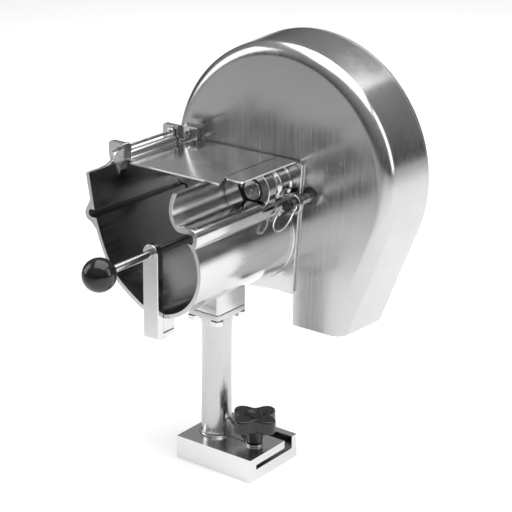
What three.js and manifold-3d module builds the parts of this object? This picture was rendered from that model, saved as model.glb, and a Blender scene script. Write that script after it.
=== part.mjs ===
// Hand-cranked rotary fruit and vegetable slicer on a clamp base.
// Millimetres. +Z up, +X to the operator's right, +Y from the feed trough towards the blade housing.
// The origin is the middle of the base block's underside.

import * as THREE from 'three';
import { mergeVertices } from 'three/addons/utils/BufferGeometryUtils.js';
import Module from 'manifold-3d';

const wasm = await Module();
wasm.setup();

// ---------------------------------------------------------------- driving dimensions
const GAP = 0.3; // air between neighbouring pieces

const BASE = { length: 99, depth: 83, height: 26.5, round: 2 };
const SLIT = { front: -31.5, back: 19, low: 12.6, high: 17.8, channelBack: 32.5 };
const KNOB = { x: 28, y: -5.7, stud: 4.2, low: 46, high: 61.5, tip: 27.4, turn: 8 };
const POST = { x: -23.5, y: -5.5, radius: 16.2, spigot: 10 };
const HEAD = { x: 41, y: 48, low: 165, high: 171.7, boltX: 15.2, boltY: 19 };

const TROUGH = { front: -81.5, back: 78.2, top: 315.7, wall: 4.5, x: -41, z: 234.5, radius: 51.7 };
// The right wall bows inwards round the shaft boss, first tightly and then more openly.
const BOW = { x: -1.5, z: 296, radius: 24, upperX: 14.5, upperRadius: 40 };
const RAIL = { low: 266.4, high: 276.4, leftLow: 268.1, leftEnd: -132.9, rightEnd: 5.6, slotRound: 4, rise: 5.8, bossRise: 3.1 };

const PLATE = { front: 78.5, back: 82, padBack: 87.8 };
const SHAFT = { x: -7, z: 293, radius: 10.5, front: 31.5, step: 148, rearRadius: 8 };
const BOSS = { front: 32.2, radius: 22, bush: 13 };

const DISC = { front: 90, back: 94, radius: 126, bladeFront: 88.2 };
const COVER = { x: -12, z: 297, frontRadius: 141, backRadius: 145, front: 82.3, back: 150, wall: 3, fillet: 14 };
const REAR = { front: 150.3, back: 153.8 };
const CRANK = { radius: 90, angle: 72.6, front: 161.5, back: 170, gripFront: 173, gripBack: 240 };

const LID = { low: 316, high: 318.2, front: -34, back: 77.6, right: -10 };
const PIN = { x: -130, z: 330.5, radius: 1.75 };
const EAR = { left: -143.6, right: -122.5, top: 337.5, front: -36.5, back: -25, rearFront: 52, rearBack: 62 };
const TAB = { left: -140, right: -114.5, front: 75, back: 82, screwX: -126.5, screwZ: 325.5 };
const BAR = { x: -42.6, width: 19.5, front: -91, back: -82, low: 157.5, holeZ: 249.4 };
const PUSHER = { rod: 4.4, ballY: -167.6, ballRadius: 17.5, front: 66, back: 76 };
const LATCH = { x: 22.5, z: 276, radius: 5.2, lugFront: 62, lugBack: 68, capFront: 52.5, tip: 86.5 };

// ---------------------------------------------------------------- geometry helpers
const rad = THREE.MathUtils.degToRad;
const v2 = (x, y) => new THREE.Vector2(x, y);

// Points on a circle from one angle to another, in degrees.
function arc(x, y, r, from, to, steps) {
  const points = [];
  for (let i = 0; i <= steps; i += 1) {
    const a = rad(from + ((to - from) * i) / steps);
    points.push(v2(x + r * Math.cos(a), y + r * Math.sin(a)));
  }
  return points;
}

// A rectangle with rounded corners.
function roundRect(x0, y0, x1, y1, r, steps = 3) {
  return [
    ...arc(x1 - r, y1 - r, r, 0, 90, steps),
    ...arc(x0 + r, y1 - r, r, 90, 180, steps),
    ...arc(x0 + r, y0 + r, r, 180, 270, steps),
    ...arc(x1 - r, y0 + r, r, 270, 360, steps),
  ];
}

// Moves an open path sideways, to the right of its direction of travel.
function offsetPath(path, distance) {
  return path.map((p, i) => {
    const before = path[Math.max(i - 1, 0)];
    const after = path[Math.min(i + 1, path.length - 1)];
    const a = p.clone().sub(before);
    const b = after.clone().sub(p);
    if (a.length() === 0) a.copy(b);
    if (b.length() === 0) b.copy(a);
    a.normalize();
    b.normalize();
    const na = v2(a.y, -a.x);
    const nb = v2(b.y, -b.x);
    const mitre = na.clone().add(nb).normalize();
    return p.clone().addScaledVector(mitre, distance / Math.max(mitre.dot(na), 0.4));
  });
}

// Extrusions of an outline: along Y (outline in X, Z), along X (outline in Y, Z) and along Z (outline in X, Y).
function extrude(points, depth, bevel = 0) {
  return new THREE.ExtrudeGeometry(new THREE.Shape(points), {
    depth: depth - 2 * bevel,
    bevelEnabled: bevel > 0,
    bevelThickness: bevel,
    bevelSize: bevel,
    bevelOffset: -bevel,
    bevelSegments: 1,
    curveSegments: 8,
  }).translate(0, 0, bevel);
}
const prismY = (points, y0, y1, bevel = 0) => extrude(points, y1 - y0, bevel).rotateX(Math.PI / 2).translate(0, y1, 0);
const prismZ = (points, z0, z1, bevel = 0) => extrude(points, z1 - z0, bevel).translate(0, 0, z0);
function prismX(points, x0, x1, bevel = 0) {
  const turn = new THREE.Matrix4().makeBasis(v3(0, 1, 0), v3(0, 0, 1), v3(1, 0, 0));
  return extrude(points, x1 - x0, bevel).applyMatrix4(turn).translate(x0, 0, 0);
}
function v3(x, y, z) {
  return new THREE.Vector3(x, y, z);
}

// Turned shapes: profile is a list of [radius, distance along the axis], starting and ending on the axis.
const lathe = (profile, sides) => new THREE.LatheGeometry(profile.map(([r, t]) => v2(r, t)), sides);
const latheY = (profile, x, z, sides = 24) => lathe(profile, sides).translate(x, 0, z);
const latheZ = (profile, x, y, sides = 24) => lathe(profile, sides).rotateX(Math.PI / 2).translate(x, y, 0);
const latheX = (profile, y, z, sides = 24) => lathe(profile, sides).rotateZ(-Math.PI / 2).translate(0, y, z);
const rodProfile = (r, from, to, chamfer = 0) => (chamfer > 0
  ? [[0, from], [r - chamfer, from], [r, from + chamfer], [r, to - chamfer], [r - chamfer, to], [0, to]]
  : [[0, from], [r, from], [r, to], [0, to]]);
const rodY = (r, y0, y1, x, z, sides = 16, chamfer = 0) => latheY(rodProfile(r, y0, y1, chamfer), x, z, sides);
const rodZ = (r, z0, z1, x, y, sides = 16, chamfer = 0) => latheZ(rodProfile(r, z0, z1, chamfer), x, y, sides);
const rodX = (r, x0, x1, y, z, sides = 16, chamfer = 0) => latheX(rodProfile(r, x0, x1, chamfer), y, z, sides);
const ringY = (r0, r1, y0, y1, x, z, sides = 24) => latheY(
  [[r0, y0], [r1, y0], [r1, y1], [r0, y1], [r0, y0]], x, z, sides);
const ringZ = (r0, r1, z0, z1, x, y, sides = 24) => latheZ(
  [[r0, z0], [r1, z0], [r1, z1], [r0, z1], [r0, z0]], x, y, sides);
const boxOf = (x0, x1, y0, y1, z0, z1) => new THREE.BoxGeometry(x1 - x0, y1 - y0, z1 - z0)
  .translate((x0 + x1) / 2, (y0 + y1) / 2, (z0 + z1) / 2);

// A hexagon-headed bolt along Z: head below, shank above.
function hexBoltUp(x, y, headLow, headHigh, across, shank, top) {
  const head = prismZ(arc(x, y, across / 2 / Math.cos(rad(30)), 0, 300, 5), headLow, headHigh, 0.6);
  return join(head, rodZ(shank, headHigh - 1, top, x, y, 10, 0.6));
}

// ---------------------------------------------------------------- booleans
function signedVolume(position, index) {
  const p = [v3(0, 0, 0), v3(0, 0, 0), v3(0, 0, 0)];
  let sum = 0;
  for (let i = 0; i < index.count; i += 3) {
    p.forEach((corner, k) => corner.fromBufferAttribute(position, index.getX(i + k)));
    sum += p[0].dot(p[1].clone().cross(p[2]));
  }
  return sum / 6;
}

function toSolid(shape) {
  if (!(shape instanceof THREE.BufferGeometry)) return shape;
  const bare = shape.clone();
  bare.deleteAttribute('normal');
  bare.deleteAttribute('uv');
  const merged = mergeVertices(bare, 1e-4);
  const triVerts = new Uint32Array(merged.index.array);
  if (signedVolume(merged.attributes.position, merged.index) < 0) {
    for (let i = 0; i < triVerts.length; i += 3) {
      [triVerts[i], triVerts[i + 1]] = [triVerts[i + 1], triVerts[i]];
    }
  }
  const vertProperties = new Float32Array(merged.attributes.position.array);
  return new wasm.Manifold(new wasm.Mesh({ numProp: 3, vertProperties, triVerts }));
}

const join = (first, ...rest) => rest.reduce((sum, next) => sum.add(toSolid(next)), toSolid(first));
const cut = (first, ...rest) => rest.reduce((sum, next) => sum.subtract(toSolid(next)), toSolid(first));
const overlap = (a, b) => toSolid(a).intersect(toSolid(b));

function toGeometry(shape) {
  const mesh = toSolid(shape).getMesh();
  const geometry = new THREE.BufferGeometry();
  geometry.setAttribute('position', new THREE.BufferAttribute(new Float32Array(mesh.vertProperties), 3));
  geometry.setIndex(new THREE.BufferAttribute(new Uint32Array(mesh.triVerts), 1));
  geometry.computeVertexNormals();
  return geometry;
}

// Skins a row of outlines with equal point counts, each at its own Y, and closes both ends.
function loftY(sections) {
  const count = sections[0].points.length;
  const positions = sections.flatMap(({ points, y }) => points.flatMap((p) => [p.x, y, p.y]));
  const index = [];
  for (let s = 0; s + 1 < sections.length; s += 1) {
    for (let i = 0; i < count; i += 1) {
      const a = s * count + i;
      const b = s * count + ((i + 1) % count);
      index.push(a, b, a + count, b, b + count, a + count);
    }
  }
  const last = (sections.length - 1) * count;
  const caps = [[0, sections[0].points], [last, sections[sections.length - 1].points]];
  caps.forEach(([start, points], end) => {
    THREE.ShapeUtils.triangulateShape(points, []).forEach(([a, b, c]) => {
      index.push(...(end === 0 ? [start + a, start + c, start + b] : [start + a, start + b, start + c]));
    });
  });
  const geometry = new THREE.BufferGeometry();
  geometry.setAttribute('position', new THREE.Float32BufferAttribute(positions, 3));
  geometry.setIndex(index);
  return geometry;
}

// ---------------------------------------------------------------- the assembly
const slicer = new THREE.Group();
const crank = new THREE.Group();
crank.position.set(SHAFT.x, 0, SHAFT.z);
crank.rotation.y = rad(-CRANK.angle);
slicer.add(crank);

function add(name, shape, color, roughness, metalness = 1, parent = slicer) {
  const material = new THREE.MeshStandardMaterial({ color, roughness, metalness });
  const mesh = new THREE.Mesh(toGeometry(shape), material);
  mesh.name = name;
  parent.add(mesh);
}

const POLISHED = [0xd2d3d5, 0.18];
const SATIN = [0xb9babd, 0.36];
const STEEL = [0xc2c2c4, 0.24];
const BLACK = [0x121214, 0.3, 0];
const WHITE = [0xe9e9e6, 0.4, 0];

// ---------------------------------------------------------------- clamp base
function baseBlock() {
  const h = BASE.depth / 2;
  const section = [
    v2(-h, 0), v2(h, 0), v2(h, BASE.height), v2(SLIT.channelBack, BASE.height),
    v2(SLIT.channelBack, SLIT.low), v2(SLIT.front, SLIT.low), v2(SLIT.front, SLIT.high),
    v2(SLIT.back, SLIT.high), v2(SLIT.back, BASE.height), v2(-h, BASE.height),
  ];
  const block = prismX(section, -BASE.length / 2, BASE.length / 2);
  const studHole = rodZ(KNOB.stud + GAP, 4, BASE.height + 1, KNOB.x, KNOB.y);
  const spigotHole = rodZ(POST.spigot + GAP, SLIT.high - 1, BASE.height + 1, POST.x, POST.y);
  return cut(block, studHole, spigotHole);
}

function knobOutline() {
  const points = [];
  const steps = 36;
  for (let i = 0; i < steps; i += 1) {
    const a = (i / steps) * 2 * Math.PI;
    const lobe = Math.cos(4 * (a + rad(KNOB.turn)));
    const r = KNOB.tip - 4.7 + 5.5 * lobe - 0.8 * lobe * lobe;
    points.push(v2(KNOB.x + r * Math.cos(a), KNOB.y + r * Math.sin(a)));
  }
  return points;
}

function clampKnob() {
  const star = prismZ(knobOutline(), KNOB.low, KNOB.high, 1.4);
  const hub = latheZ([[0, 29.2], [8.2, 29.2], [10.6, KNOB.low - 2], [13, KNOB.low + 2], [0, KNOB.low + 2]], KNOB.x, KNOB.y);
  const dish = latheZ([[0, KNOB.high - 3], [8, KNOB.high - 3], [12.2, KNOB.high + 1], [0, KNOB.high + 1]], KNOB.x, KNOB.y);
  const studHole = rodZ(KNOB.stud + GAP, 20, KNOB.low + 6, KNOB.x, KNOB.y);
  return cut(join(star, hub), dish, studHole);
}

add('base_block', baseBlock(), ...POLISHED);
add('clamp_stud', rodZ(KNOB.stud, 4.5, KNOB.low + 5.5, KNOB.x, KNOB.y, 24, 0.8), ...STEEL);
add('clamp_washer', ringZ(KNOB.stud + GAP, 9.4, BASE.height + GAP, 28.6, KNOB.x, KNOB.y), ...STEEL);
add('clamp_knob', clampKnob(), ...BLACK);

// ---------------------------------------------------------------- leg
function legPost() {
  const foot = BASE.height + GAP;
  const body = latheZ([
    [0, SLIT.high + GAP], [POST.spigot, SLIT.high + GAP], [POST.spigot, foot], [POST.radius + 2.2, foot],
    [POST.radius + 0.6, foot + 3], [POST.radius, foot + 8], [POST.radius, 130], [POST.radius + 1, HEAD.low + 1],
    [0, HEAD.low + 1],
  ], POST.x, POST.y, 32);
  const head = prismZ(roundRect(
    POST.x - HEAD.x / 2, POST.y - HEAD.y / 2, POST.x + HEAD.x / 2, POST.y + HEAD.y / 2, 3), HEAD.low, HEAD.high);
  const web = prismY([v2(POST.x, foot), v2(16.5, foot), v2(16.5, foot + 2), v2(-5.5, 46), v2(POST.x, 46)],
    POST.y - 3, POST.y + 3);
  return cut(join(body, head, web), ...boltPlaces().map(([x, y]) => rodZ(4 + GAP, 160, 175, x, y, 10)));
}

function boltPlaces() {
  return [[-1, -1], [1, -1], [1, 1], [-1, 1]].map(([sx, sy]) => [
    POST.x + sx * HEAD.boltX, POST.y + sy * HEAD.boltY,
  ]);
}

add('leg_post', legPost(), ...SATIN);
boltPlaces().forEach(([x, y], i) => {
  add(`saddle_bolt_${i + 1}`, hexBoltUp(x, y, HEAD.low - 5.8, HEAD.low - GAP, 12.6, 4, 177), ...STEEL);
});

// ---------------------------------------------------------------- feed trough
// Inner face of the trough's wall, from the top left round the bottom to the top right.
function troughPath() {
  const leftSide = new THREE.CatmullRomCurve3([
    v3(-124, 272, 0), v3(-115.7, 248, 0), v3(-107, 228.3, 0), v3(-96.5, 212, 0), v3(-82.3, 199.5, 0),
    v3(-63, 187.4, 0),
  ]).getPoints(14).map((p) => v2(p.x, p.y));
  return [
    v2(-131.7, TROUGH.top),
    ...leftSide,
    ...arc(TROUGH.x, TROUGH.z, TROUGH.radius, -110, 33, 22),
    v2(-11, 275),
    ...arc(BOW.x, BOW.z, BOW.radius, 228, 185, 5),
    ...arc(BOW.upperX, BOW.z, BOW.upperRadius, 180, 146, 4),
  ];
}

const innerPath = troughPath();
const outerPath = offsetPath(innerPath, TROUGH.wall);

// The whole section of the trough out to its outer face plus a margin, as one filled bar.
function troughEnvelope(margin, y0, y1) {
  const path = offsetPath(innerPath, TROUGH.wall + margin);
  return join(prismY(path, y0, y1), prismY(railOutline(RAIL.bossRise, margin), y0, y1));
}

// Soft bulge on the outside of the right wall, round the groove. It is lower beside the shaft boss.
function railOutline(rise, m = 0) {
  return roundRect(-19 - m, 259.5 - m, RAIL.rightEnd + 4.8 + m, RAIL.high + rise + m, 9 + m, 4);
}

// The same on the left, where it is one smooth swell of the wall.
function leftRailOutline() {
  const swell = new THREE.CatmullRomCurve3([
    v3(-131.4, 286, 0), v3(-135.5, 278.6, 0), v3(-138.3, 272, 0), v3(-136, 265.4, 0), v3(-129.4, 261.4, 0),
    v3(-124.2, 256, 0),
  ]).getPoints(12).map((p) => v2(p.x, p.y));
  return [...swell, v2(-112, 256), v2(-112, 286)];
}

// Hinge ear: the shape seen from the front, with its top rounded over towards the rear.
function earBlock(front, back) {
  const { left, right, top } = EAR;
  const round = 3;
  const soft = 6;
  const face = [
    v2(-122.5, LID.low + 3), ...arc(right - round, top - round, round, 0, 90, 3),
    ...arc(left + round, top - round, round, 90, 180, 3), v2(left, 323), v2(left + 1.6, 318), v2(-136.6, 309),
    v2(-134.4, 302), v2(-129.6, 302), v2(-128.2, LID.low - 1.4),
  ];
  const side = [
    v2(front, 290), v2(back, 290), ...arc(back - soft, top - soft, soft, 0, 90, 4), v2(front + 2, top), v2(front, top - 2),
  ];
  return overlap(prismY(face, front - 1, back + 1), prismX(side, left - 5, right + 5));
}

function hopperTrough() {
  const { front, back, top, wall } = TROUGH;
  const walls = prismY([...innerPath, ...[...outerPath].reverse()], front, back);
  const shell = cut(walls, boxOf(-40, 20, front - 1, back + 1, top, top + 20));
  const rightRail = join(
    prismY(railOutline(RAIL.rise), front, BOSS.front - 4), prismY(railOutline(RAIL.bossRise), BOSS.front - 5, back));
  const rails = cut(join(prismY(leftRailOutline(), front, back), rightRail), prismY(innerPath, front - 1, back + 1));
  const slots = [
    prismY(roundRect(RAIL.leftEnd, RAIL.leftLow, -110, RAIL.high, RAIL.slotRound), front - 1, back + 1),
    prismY(roundRect(-30, RAIL.low, RAIL.rightEnd, RAIL.high, RAIL.slotRound), front - 1, back + 1),
  ];
  // collar against the plate, round the lower part of the section
  const low = innerPath.slice(1, 38);
  const collarOuter = offsetPath(low, wall + 3);
  const collar = prismY([...offsetPath(low, 1), ...collarOuter.reverse()], back - 4.5, back);
  // pad under the trough that takes the leg
  const padOutline = [
    v2(POST.x - HEAD.x / 2, HEAD.high + GAP), v2(POST.x + HEAD.x / 2, HEAD.high + GAP),
    v2(POST.x + HEAD.x / 2, 215), v2(POST.x - HEAD.x / 2, 215),
  ];
  const pad = cut(
    prismY(padOutline, POST.y - HEAD.y / 2, POST.y + HEAD.y / 2),
    prismY(offsetPath(innerPath, 1), front, back),
    ...boltPlaces().map(([x, y]) => rodZ(4 + GAP, 165, 177.4, x, y, 10)));
  // front hinge ear, grown out of the left wall
  const sweep = prismX([
    v2(-62, top - 3), v2(-62, top), v2(-50, top + 1.2), v2(-43, top + 3.6), v2(-39, top + 7.4), v2(EAR.front, top + 12),
    v2(EAR.front + 1, top + 12), v2(EAR.front + 1, top - 3),
  ], -135.6, -131.9);
  const pinHole = rodY(PIN.radius + GAP, -40, -20, PIN.x, PIN.z, 16);
  const ear = cut(join(earBlock(EAR.front, EAR.back), sweep), pinHole);
  const lug = cut(
    boxOf(BAR.x - 9.2, BAR.x + 9.2, front, -63, BAR.low + 5.3, 190),
    prismY(offsetPath(innerPath, 1), front - 1, back));
  const barBolt = rodZ(3 + GAP, 150, 179, BAR.x, -72, 16);
  return cut(join(shell, rails, collar, pad, ear, lug), ...slots, barBolt);
}

add('hopper_trough', hopperTrough(), ...POLISHED);

// ---------------------------------------------------------------- front plate and shaft boss
const plateOutline = [
  v2(-135, 160), v2(-46, 164.2), v2(14, 169.7), v2(23, 314.6), v2(21.5, 316), v2(-135, 316),
];

function shrink(points, inset) {
  const box = new THREE.Box2().setFromPoints(points);
  const middle = box.getCenter(v2(0, 0));
  const size = box.getSize(v2(0, 0));
  return points.map((p) => v2(
    middle.x + (p.x - middle.x) * (1 - (2 * inset) / size.x),
    middle.y + (p.y - middle.y) * (1 - (2 * inset) / size.y)));
}

// The raised pad behind the plate and the housing window that it fills.
function windowPlug(inset, y0, y1) {
  return overlap(
    prismY(shrink(plateOutline, inset), y0, y1), rodY(132 - inset, y0, y1, COVER.x, COVER.z, 48));
}

function throatOutline() {
  return [v2(-130.6, 309), ...innerPath.filter((p) => p.y < 308.9)];
}

function frontPlate() {
  const flange = prismY(plateOutline, PLATE.front, PLATE.back);
  const pad = windowPlug(8.4, PLATE.back - 1, PLATE.padBack);
  const throat = prismY(throatOutline(), PLATE.front - 1, PLATE.padBack + 1);
  const shaftHole = rodY(SHAFT.radius + 1, 70, 95, SHAFT.x, SHAFT.z, 32);
  const latchHole = rodY(LATCH.radius + GAP, 70, 95, LATCH.x, LATCH.z, 20);
  return cut(join(flange, pad), throat, shaftHole, latchHole);
}

function shaftBoss() {
  const { front, radius, bush } = BOSS;
  const body = latheY([
    [0, front], [radius - 0.8, front], [radius, front + 0.8], [radius, 45], [18.4, 49.5], [16.8, 53], [16.8, 55],
    [19, 56.6], [19.8, 59], [19, 61.4], [17, 63], [16.8, PLATE.front - 3], [19, PLATE.front - GAP],
    [0, PLATE.front - GAP],
  ], SHAFT.x, SHAFT.z, 32);
  const web = prismY([
    v2(-7, 290), v2(5, 290.5), v2(11, 285.5), v2(15.5, 285.4), v2(22.5, 276), v2(12, 266.5), v2(-7, 272),
  ], LATCH.lugFront, LATCH.lugBack);
  const eye = rodY(11.3, LATCH.lugFront, LATCH.lugBack, LATCH.x, LATCH.z, 32, 0.6);
  const crease = boxOf(-30, SHAFT.x - 0.5, 20, 90, 262, 283); // where the wall meets the rail's bulge
  return cut(
    join(body, web, eye),
    troughEnvelope(GAP, 20, 90),
    crease,
    rodY(bush + GAP, 20, 90, SHAFT.x, SHAFT.z, 32),
    rodY(LATCH.radius + GAP, 50, 90, LATCH.x, LATCH.z, 20));
}

add('front_plate', frontPlate(), ...SATIN);
add('shaft_boss', shaftBoss(), ...POLISHED);
add('front_bush', ringY(SHAFT.radius + GAP, BOSS.bush, BOSS.front + 0.6, 48, SHAFT.x, SHAFT.z), 0x1b1a19, 0.5, 0.2);
add('rear_bush', ringY(SHAFT.radius + GAP, BOSS.bush, 58, 78, SHAFT.x, SHAFT.z), 0x1b1a19, 0.5, 0.2);

// ---------------------------------------------------------------- top ledge, lid and its hinge
function topLedge() {
  const outline = [v2(-8.3, -10), v2(-3.6, -16), v2(14.6, -16), v2(15.8, -14.8), v2(15.8, 78.2), v2(-8.3, 78.2)];
  return prismZ(outline, LID.low, LID.high);
}

function lid() {
  const { low, high, front, back, right } = LID;
  const sheet = prismZ([
    v2(-117, front), v2(0.5, front), v2(-5.2, -16.8), v2(right, -10.2), v2(right, back), v2(-112, back), v2(-112, 51),
    v2(-126, 51), v2(-126, -24), v2(-117, -24),
  ], low, high);
  const rollZ = 321.7;
  const roll = rodY(5.3, -24, 51, -128, rollZ, 20, 0.5);
  const tabOutline = [
    v2(-132.5, rollZ), v2(-123.5, rollZ), v2(-125.6, 328), ...arc(PIN.x, PIN.z, 4.4, 0, 180, 8), v2(-134.2, 328),
  ];
  const tabs = [prismY(tabOutline, -24, -20.6), prismY(tabOutline, 47.6, 51)];
  return cut(join(sheet, roll, ...tabs), rodY(PIN.radius + GAP, -30, 60, PIN.x, PIN.z, 16));
}

function hingeBracket() {
  const { left, right, front, back, screwX, screwZ } = TAB;
  const tab = prismY(roundRect(left, LID.low + GAP, right, 331, 3), front, back);
  const foot = boxOf(-138, -118.5, EAR.rearBack - 4, front + 1, LID.low + GAP, 321.4);
  const below = boxOf(-160, -100, 40, 90, 280, LID.low + GAP);
  return cut(
    join(earBlock(EAR.rearFront, EAR.rearBack), foot, tab),
    below,
    rodY(PIN.radius + GAP, 40, 70, PIN.x, PIN.z, 16),
    rodY(2 + GAP, 70, 90, screwX, screwZ, 8));
}

function bracketScrew() {
  const { front, screwX, screwZ } = TAB;
  const head = rodY(3.6, front - 2, front - GAP, screwX, screwZ, 20, 0.5);
  return join(head, rodY(2, front - 1, DISC.bladeFront - 2, screwX, screwZ, 8));
}

function hingePin() {
  const cross = rodZ(0.9 + 0.2, 320, 340, PIN.x, -45, 10);
  const headStart = EAR.rearBack + GAP;
  const head = rodY(3.4, headStart, headStart + 3, PIN.x, PIN.z, 20, 0.6);
  return cut(join(rodY(PIN.radius, -48, headStart + 1, PIN.x, PIN.z, 16, 0.4), head), cross);
}

add('top_ledge', topLedge(), ...POLISHED);
add('lid', lid(), ...POLISHED);
add('hinge_bracket', hingeBracket(), ...POLISHED);
add('hinge_pin', hingePin(), ...STEEL);
add('hinge_cotter', rodZ(0.8, PIN.z - 11, PIN.z + 4, PIN.x, -45, 10), ...STEEL);
add('bracket_screw', bracketScrew(), ...STEEL);

// ---------------------------------------------------------------- guide bar and pusher
function guideBar() {
  const half = BAR.width / 2;
  const outline = [
    v2(BAR.x - half, BAR.low), v2(BAR.x + half, BAR.low), ...arc(BAR.x, BAR.holeZ, half, 0, 180, 14),
  ];
  const foot = boxOf(BAR.x - half + 0.6, BAR.x + half - 0.6, BAR.back - 2, -63.4, BAR.low, BAR.low + 5);
  return cut(
    join(prismY(outline, BAR.front, BAR.back, 0.8), foot),
    rodY(PUSHER.rod + GAP, -95, -78, BAR.x, BAR.holeZ, 20),
    rodZ(3 + GAP, 150, 165, BAR.x, -72, 16));
}

function pusherPlate() {
  const path = offsetPath(innerPath.filter((p) => p.y < 277.5), -1.4);
  const plateTop = [v2(-26.5, 277.4), v2(-60, 282), v2(-100, 282), v2(-122, 277.4)];
  const plate = prismY([...path.filter((p) => p.y < 276), ...plateTop], PUSHER.front, PUSHER.back, 0.8);
  const play = 0.9;
  const tongue = (x0, x1, low) => prismY(
    roundRect(x0, low + play, x1, RAIL.high - play, RAIL.slotRound - play), PUSHER.front, PUSHER.back);
  const leftTongue = tongue(RAIL.leftEnd + play, -105, RAIL.leftLow);
  const rightTongue = tongue(-35, RAIL.rightEnd - play, RAIL.low);
  const boss = rodY(10, PUSHER.front - 9, PUSHER.front + 1, BAR.x, BAR.holeZ, 20, 1);
  const rodHole = rodY(PUSHER.rod + GAP, 40, PUSHER.front + 5, BAR.x, BAR.holeZ, 20);
  return cut(join(plate, leftTongue, rightTongue, boss), rodHole);
}

add('guide_bar', guideBar(), ...POLISHED);
add('bar_bolt', hexBoltUp(BAR.x, -72, 151.2, BAR.low - GAP, 10, 3, 178), ...STEEL);
add('pusher_rod', rodY(PUSHER.rod, PUSHER.ballY + 8, PUSHER.front + 4.6, BAR.x, BAR.holeZ, 20, 0.5), ...STEEL);
add('pusher_plate', pusherPlate(), ...SATIN);

function pusherBall() {
  const r = PUSHER.ballRadius;
  const profile = arc(0, PUSHER.ballY, r, -90, 90, 12).map((p) => [Math.max(p.x, 0), p.y]);
  profile[0][0] = 0;
  profile[profile.length - 1][0] = 0;
  const collar = rodY(6.6, PUSHER.ballY + r - 3, PUSHER.ballY + r + 1.2, BAR.x, BAR.holeZ, 20);
  const bore = rodY(PUSHER.rod + GAP, PUSHER.ballY + 7.5, PUSHER.ballY + 40, BAR.x, BAR.holeZ, 20);
  return cut(join(latheY(profile, BAR.x, BAR.holeZ, 20), collar), bore);
}
add('pusher_ball', pusherBall(), ...BLACK);

// ---------------------------------------------------------------- shaft, disc and blades
function mainShaft() {
  const { front, step, radius, rearRadius } = SHAFT;
  return lathe([
    [0, front], [radius - 1, front], [radius, front + 1], [radius, step - 1], [radius - 1, step],
    [rearRadius, step], [rearRadius, CRANK.back - 0.5], [6, CRANK.back - 0.5], [6, 180], [5, 181], [0, 181],
  ], 24);
}

// The disc, blades, hub and crank share the shaft's own frame: X points along the crank arm.
const bladeTurns = [90 - CRANK.angle, 270 - CRANK.angle];
const hubTurns = [60, 180, 300];
const spin = (shape, degrees) => shape.rotateY(rad(-degrees));

const bladeSlot = () => boxOf(30, 116, 80, 100, -6, 8);

function cuttingDisc() {
  const blank = latheY([[0, DISC.front], [DISC.radius - 1, DISC.front], [DISC.radius, DISC.front + 1],
    [DISC.radius, DISC.back], [0, DISC.back]], 0, 0, 72);
  const slots = bladeTurns.map((turn) => spin(bladeSlot(), turn));
  const screwHoles = bladeTurns.flatMap((turn) => [45, 100].map(
    (x) => spin(rodY(2 + GAP, 80, 100, x, -13, 8), turn)));
  const hubHoles = hubTurns.map((turn) => spin(rodY(2 + GAP, 80, 100, 20.4, 0, 8), turn));
  return cut(blank, rodY(SHAFT.radius + GAP, 80, 100, 0, 0, 32), ...slots, ...screwHoles, ...hubHoles);
}

function blade(turn) {
  const plate = prismY([v2(26, -20), v2(112, -20), v2(120, -14), v2(120, 1), v2(26, 1)], DISC.bladeFront, DISC.front - GAP);
  const edge = cut(plate, boxOf(20, 125, 80, DISC.bladeFront + 0.7, -1, 3));
  const holes = [45, 100].map((x) => rodY(2 + GAP, 80, 100, x, -13, 8));
  return cut(edge, ...holes).rotate([0, -turn, 0]);
}

function bladeScrew(x, turn) {
  const head = rodY(4, DISC.back + GAP, DISC.back + 2.8, x, -13, 20, 0.7);
  return join(head, rodY(2, DISC.bladeFront + 0.4, DISC.back + 1, x, -13, 8)).rotate([0, -turn, 0]);
}

function discHub() {
  const body = latheY([
    [0, DISC.back + GAP], [24.6, DISC.back + GAP], [24.6, 99], [16.4, 99], [16.4, 112], [0, 112],
  ], 0, 0, 32);
  const holes = hubTurns.map((turn) => spin(rodY(2 + GAP, 80, 120, 20.4, 0, 8), turn));
  return cut(body, rodY(SHAFT.radius + GAP, 80, 120, 0, 0, 32), ...holes, rodZ(2.5 + GAP, 5, 30, 0, 106.5, 8));
}

function hubScrew(turn) {
  const head = rodY(3.5, 99 + GAP, 101.8, 20.4, 0, 16, 0.6);
  return join(head, rodY(2, 90.4, 100, 20.4, 0, 8)).rotate([0, -turn, 0]);
}

add('main_shaft', mainShaft(), ...STEEL, 1, crank);
add('cutting_disc', cuttingDisc(), 0xc7c8ca, 0.25, 1, crank);
add('disc_hub', discHub(), ...SATIN, 1, crank);
add('hub_set_screw', rodZ(2.5, 10.9, 16, 0, 106.5, 8), ...STEEL, 1, crank);
hubTurns.forEach((turn, i) => {
  add(`hub_screw_${i + 1}`, hubScrew(turn), ...STEEL, 1, crank);
});
bladeTurns.forEach((turn, i) => {
  add(`blade_${i + 1}`, blade(turn), 0xd9dadc, 0.15, 1, crank);
  [45, 100].forEach((x, k) => {
    add(`blade_screw_${2 * i + k + 1}`, bladeScrew(x, turn), ...STEEL, 1, crank);
  });
});

// ---------------------------------------------------------------- crank arm and grip
function crankArm() {
  const { radius, front, back } = CRANK;
  const outline = [...arc(0, 0, 13, 100, 260, 10), ...arc(radius, 0, 9.5, -80, 80, 10)];
  return cut(
    prismY(outline, front, back, 1),
    rodY(SHAFT.rearRadius + GAP, 150, 175, 0, 0, 28),
    rodY(4 + GAP, 150, 175, radius, 0, 20));
}

function gripAxle() {
  const { radius, front, back, gripBack } = CRANK;
  const flangeStart = back + GAP;
  return join(
    rodY(4, front + 0.5, gripBack - 8, radius, 0, 20, 0.5),
    rodY(6.5, flangeStart, flangeStart + 2, radius, 0, 24, 0.4),
    rodY(6.6, gripBack - 11, gripBack - 7, radius, 0, 24, 0.6));
}

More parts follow.
